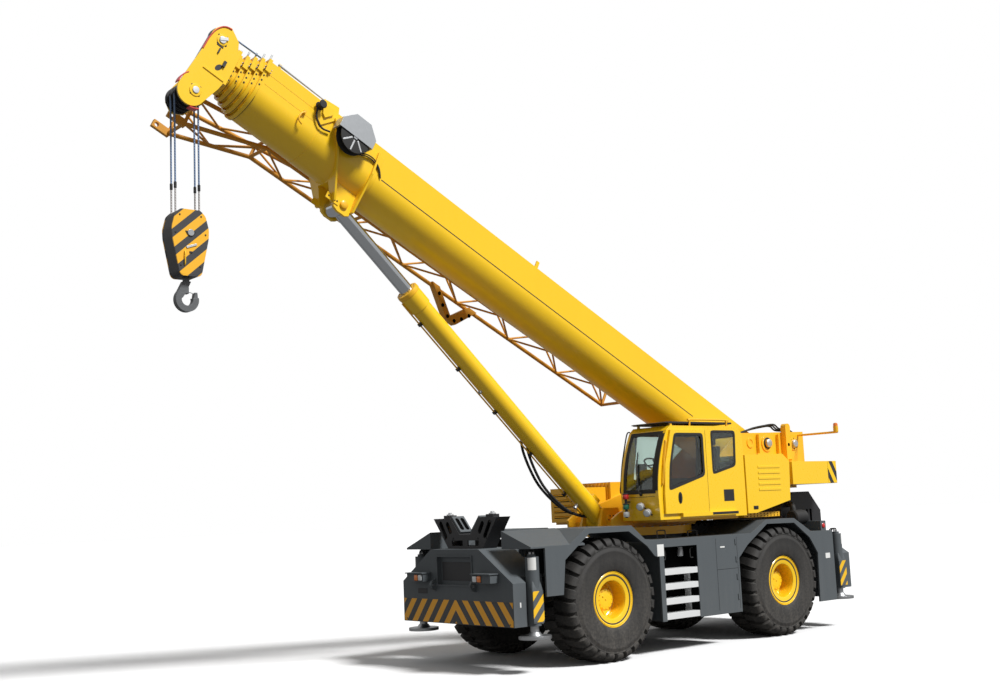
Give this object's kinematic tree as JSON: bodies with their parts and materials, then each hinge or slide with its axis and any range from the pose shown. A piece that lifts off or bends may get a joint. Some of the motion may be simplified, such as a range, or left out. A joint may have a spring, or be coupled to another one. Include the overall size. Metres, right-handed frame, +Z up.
{
  "type": "rough-terrain mobile crane",
  "caption": "Two-axle rough-terrain mobile crane with a raised telescopic boom, side cab, stowed lattice jib and outriggers retracted.",
  "frame": {"origin": "on the ground, under the middle of the crane's length and width", "axes": "+X towards the front axle and the boom head, +Y to the crane's left (cab side), +Z up"},
  "size_m": [12.622, 3.13, 8.9178],
  "materials": {
    "yellow_paint": "gloss machine enamel",
    "grey_paint": "dark grey machine enamel",
    "black_paint": "satin black",
    "tyre": "matt rubber",
    "rod_steel": "hard chromed rod",
    "bare_steel": "bare machined steel",
    "rope": "stranded wire rope",
    "tread": "ribbed aluminium",
    "hook_iron": "forged and painted grey",
    "glass": "tinted cab glass",
    "seat": "dark woven seat cover",
    "lamp": "lamp lenses"
  },
  "bodies": {
    "carrier": {"carrier_frame": "grey_paint", "left_bodywork": "grey_paint", "right_bodywork": "grey_paint", "steps": "tread", "front_outrigger_box": "grey_paint", "rear_outrigger_box": "grey_paint", "boom_rest": "grey_paint", "engine_hood": "black_paint", "engine_block": "black_paint", "lamps": "lamp", "front_axle": "black_paint", "rear_axle": "black_paint"},
    "knuckle_front_left": {"front_left_knuckle": "black_paint"},
    "wheel_front_left": {"front_left_rim": "yellow_paint", "front_left_tyre": "tyre"},
    "knuckle_front_right": {"front_right_knuckle": "black_paint"},
    "wheel_front_right": {"front_right_rim": "yellow_paint", "front_right_tyre": "tyre"},
    "knuckle_rear_left": {"rear_left_knuckle": "black_paint"},
    "wheel_rear_left": {"rear_left_rim": "yellow_paint", "rear_left_tyre": "tyre"},
    "knuckle_rear_right": {"rear_right_knuckle": "black_paint"},
    "wheel_rear_right": {"rear_right_rim": "yellow_paint", "rear_right_tyre": "tyre"},
    "beam_front_left": {"front_left_beam": "grey_paint"},
    "jack_front_left": {"front_left_jack": "bare_steel"},
    "beam_front_right": {"front_right_beam": "grey_paint"},
    "jack_front_right": {"front_right_jack": "bare_steel"},
    "beam_rear_left": {"rear_left_beam": "grey_paint"},
    "jack_rear_left": {"rear_left_jack": "bare_steel"},
    "beam_rear_right": {"rear_right_beam": "grey_paint"},
    "jack_rear_right": {"rear_right_jack": "bare_steel"},
    "turntable": {"turntable": "yellow_paint", "winch_drum": "black_paint", "counterweight": "yellow_paint", "side_cover": "yellow_paint", "deck_boxes": "yellow_paint", "lamp_bar": "yellow_paint", "cab": "yellow_paint", "cab_glass": "glass", "cab_seat": "seat"},
    "cab_door": {"cab_door": "yellow_paint", "door_glass": "glass"},
    "boom": {"boom_base": "yellow_paint", "cable_reel": "bare_steel", "jib": "yellow_paint"},
    "tele_2": {"boom_section_2": "yellow_paint"},
    "tele_3": {"boom_section_3": "yellow_paint"},
    "tele_4": {"boom_section_4": "yellow_paint"},
    "tele_5": {"boom_section_5": "yellow_paint", "boom_head": "yellow_paint", "head_sheaves": "black_paint"},
    "lift_rod": {"lift_rod": "rod_steel"},
    "lift_barrel": {"lift_barrel": "yellow_paint"},
    "hook_block": {"hook_block": "yellow_paint", "hoist_falls": "rope"},
    "hook": {"hook": "hook_iron"}
  },
  "joints": [
    {"name": "steer_front_left", "type": "hinge", "parent": "carrier", "child": "knuckle_front_left", "pos_m": [-0.01352, 0.88, 0.915], "axis": [0, 0, 1], "range_deg": [-20, 20]},
    {"name": "roll_front_left", "type": "hinge", "parent": "knuckle_front_left", "child": "wheel_front_left", "pos_m": [-0.01352, 1.13, 0.915], "axis": [0, 1, 0], "continuous": true},
    {"name": "steer_front_right", "type": "hinge", "parent": "carrier", "child": "knuckle_front_right", "pos_m": [-0.01352, -0.88, 0.915], "axis": [0, 0, 1], "range_deg": [-20, 20]},
    {"name": "roll_front_right", "type": "hinge", "parent": "knuckle_front_right", "child": "wheel_front_right", "pos_m": [-0.01352, -1.13, 0.915], "axis": [0, 1, 0], "continuous": true},
    {"name": "steer_rear_left", "type": "hinge", "parent": "carrier", "child": "knuckle_rear_left", "pos_m": [-4.08852, 0.88, 0.915], "axis": [0, 0, -1], "range_deg": [-20, 20]},
    {"name": "roll_rear_left", "type": "hinge", "parent": "knuckle_rear_left", "child": "wheel_rear_left", "pos_m": [-4.08852, 1.13, 0.915], "axis": [0, 1, 0], "continuous": true},
    {"name": "steer_rear_right", "type": "hinge", "parent": "carrier", "child": "knuckle_rear_right", "pos_m": [-4.08852, -0.88, 0.915], "axis": [0, 0, -1], "range_deg": [-20, 20]},
    {"name": "roll_rear_right", "type": "hinge", "parent": "knuckle_rear_right", "child": "wheel_rear_right", "pos_m": [-4.08852, -1.13, 0.915], "axis": [0, 1, 0], "continuous": true},
    {"name": "outrigger_front_left", "type": "slide", "parent": "carrier", "child": "beam_front_left", "axis": [0, 1, 0], "range_m": [0, 2.2]},
    {"name": "jack_front_left", "type": "slide", "parent": "beam_front_left", "child": "jack_front_left", "axis": [0, 0, -1], "range_m": [0, 0.6]},
    {"name": "outrigger_front_right", "type": "slide", "parent": "carrier", "child": "beam_front_right", "axis": [0, -1, 0], "range_m": [0, 2.2]},
    {"name": "jack_front_right", "type": "slide", "parent": "beam_front_right", "child": "jack_front_right", "axis": [0, 0, -1], "range_m": [0, 0.6]},
    {"name": "outrigger_rear_left", "type": "slide", "parent": "carrier", "child": "beam_rear_left", "axis": [0, 1, 0], "range_m": [0, 2.2]},
    {"name": "jack_rear_left", "type": "slide", "parent": "beam_rear_left", "child": "jack_rear_left", "axis": [0, 0, -1], "range_m": [0, 0.6]},
    {"name": "outrigger_rear_right", "type": "slide", "parent": "carrier", "child": "beam_rear_right", "axis": [0, -1, 0], "range_m": [0, 2.2]},
    {"name": "jack_rear_right", "type": "slide", "parent": "beam_rear_right", "child": "jack_rear_right", "axis": [0, 0, -1], "range_m": [0, 0.6]},
    {"name": "slew", "type": "hinge", "parent": "carrier", "child": "turntable", "pos_m": [-2.05102, 0, 1.86], "axis": [0, 0, 1], "continuous": true},
    {"name": "cab_door_slide", "type": "slide", "parent": "turntable", "child": "cab_door", "axis": [-1, 0, 0], "range_m": [0, 0.65]},
    {"name": "luff", "type": "hinge", "parent": "turntable", "child": "boom", "pos_m": [-5.05102, 0, 3.3], "axis": [0, -1, 0], "range_deg": [-27.4, 52.6]},
    {"name": "extend_2", "type": "slide", "parent": "boom", "child": "tele_2", "axis": [0.8878, 0, 0.4602], "range_m": [0, 8.1]},
    {"name": "extend_3", "type": "slide", "parent": "tele_2", "child": "tele_3", "axis": [0.8878, 0, 0.4602], "range_m": [0, 8.1]},
    {"name": "extend_4", "type": "slide", "parent": "tele_3", "child": "tele_4", "axis": [0.8878, 0, 0.4602], "range_m": [0, 8.1]},
    {"name": "extend_5", "type": "slide", "parent": "tele_4", "child": "tele_5", "axis": [0.8878, 0, 0.4602], "range_m": [0, 8.1]},
    {"name": "lift_swing", "type": "hinge", "parent": "boom", "child": "lift_rod", "pos_m": [3.70565, 0, 6.72393], "axis": [0, -1, 0], "range_deg": [-13.6, 25.9]},
    {"name": "lift_stroke", "type": "slide", "parent": "lift_rod", "child": "lift_barrel", "axis": [-0.729, 0, -0.6845], "range_m": [-1.26, 2.41]},
    {"name": "hook_hang", "type": "hinge", "parent": "tele_5", "child": "hook_block", "pos_m": [6.04902, 0, 7.93975], "axis": [0, -1, 0], "range_deg": [-53, 28]},
    {"name": "hook_swivel", "type": "hinge", "parent": "hook_block", "child": "hook", "pos_m": [6.04902, 0, 5.515], "axis": [0, 0, 1], "continuous": true}
  ],
  "couplings": [
    {"joint": "steer_front_right", "follows": "steer_front_left", "ratio": 1},
    {"joint": "steer_rear_right", "follows": "steer_rear_left", "ratio": 1},
    {"joint": "extend_3", "follows": "extend_2", "ratio": 1},
    {"joint": "extend_4", "follows": "extend_2", "ratio": 1},
    {"joint": "extend_5", "follows": "extend_2", "ratio": 1},
    {"joint": "lift_swing", "follows": "luff", "ratio": 0.48612},
    {"joint": "lift_stroke", "follows": "luff", "m_per_rad": 2.6011},
    {"joint": "hook_hang", "follows": "luff", "ratio": -1}
  ]
}
